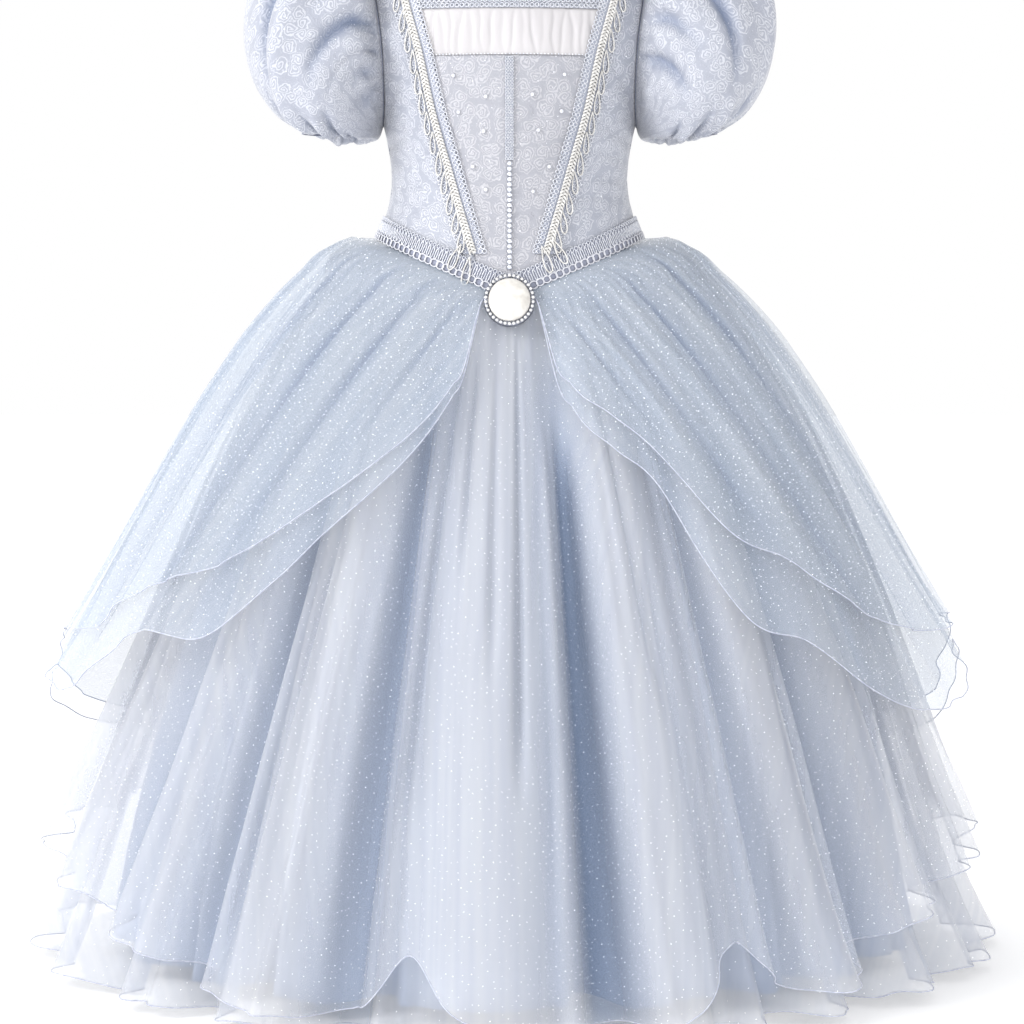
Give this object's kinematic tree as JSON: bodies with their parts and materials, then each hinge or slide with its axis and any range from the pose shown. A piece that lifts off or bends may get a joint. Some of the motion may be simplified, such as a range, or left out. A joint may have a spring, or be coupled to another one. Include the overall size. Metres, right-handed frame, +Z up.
{
  "type": "princess costume dress",
  "caption": "Child's full-length princess costume dress, worn and hollow: brocade bodice, puff sleeves, tulle skirts, loop braid and a pearl brooch.",
  "frame": {"origin": "midway between the two shoulder seams, at the top of the straps, where the wearer's shoulders hold the dress", "axes": "+Z up, the front faces -Y, +X to the right of a picture of the front"},
  "size_m": [0.8702, 0.8405, 0.9256],
  "materials": {
    "brocade": "silver-blue scroll brocade with a satin sheen",
    "pale_brocade": "paler satin brocade",
    "cream_satin": "gathered cream satin",
    "lining_satin": "pale blue satin",
    "tulle": "sheer tulle with fine glitter",
    "glitter_tulle": "sheer tulle with rows of glitter dots",
    "silver_braid": "silver-blue looped braid",
    "cream_cord": "cream corded braid",
    "silver": "dark silver casting",
    "crystal": "clear stones in silver cups",
    "pearl": "pearl cabochon"
  },
  "bodies": {
    "root": {"skirt_lining": "lining_satin", "tulle_long": "tulle", "tulle_upper": "tulle", "overskirt_right": "glitter_tulle", "overskirt_left": "glitter_tulle", "centre_front": "pale_brocade", "inset": "cream_satin", "neck_band": "brocade", "side_front_right": "brocade", "side_front_left": "brocade", "back_right": "brocade", "back_left": "brocade", "back_underlap": "brocade", "sleeve_right": "brocade", "sleeve_left": "brocade", "cuff_right": "silver_braid", "cuff_left": "silver_braid", "waist_trim": "silver_braid", "lace_right": "silver_braid", "lace_left": "silver_braid", "cream_braid_right": "cream_cord", "cream_braid_left": "cream_cord", "centre_braid": "silver_braid", "rhinestone_chain": "crystal", "brooch_setting": "silver", "brooch_cabochon": "pearl"}
  },
  "joints": []
}
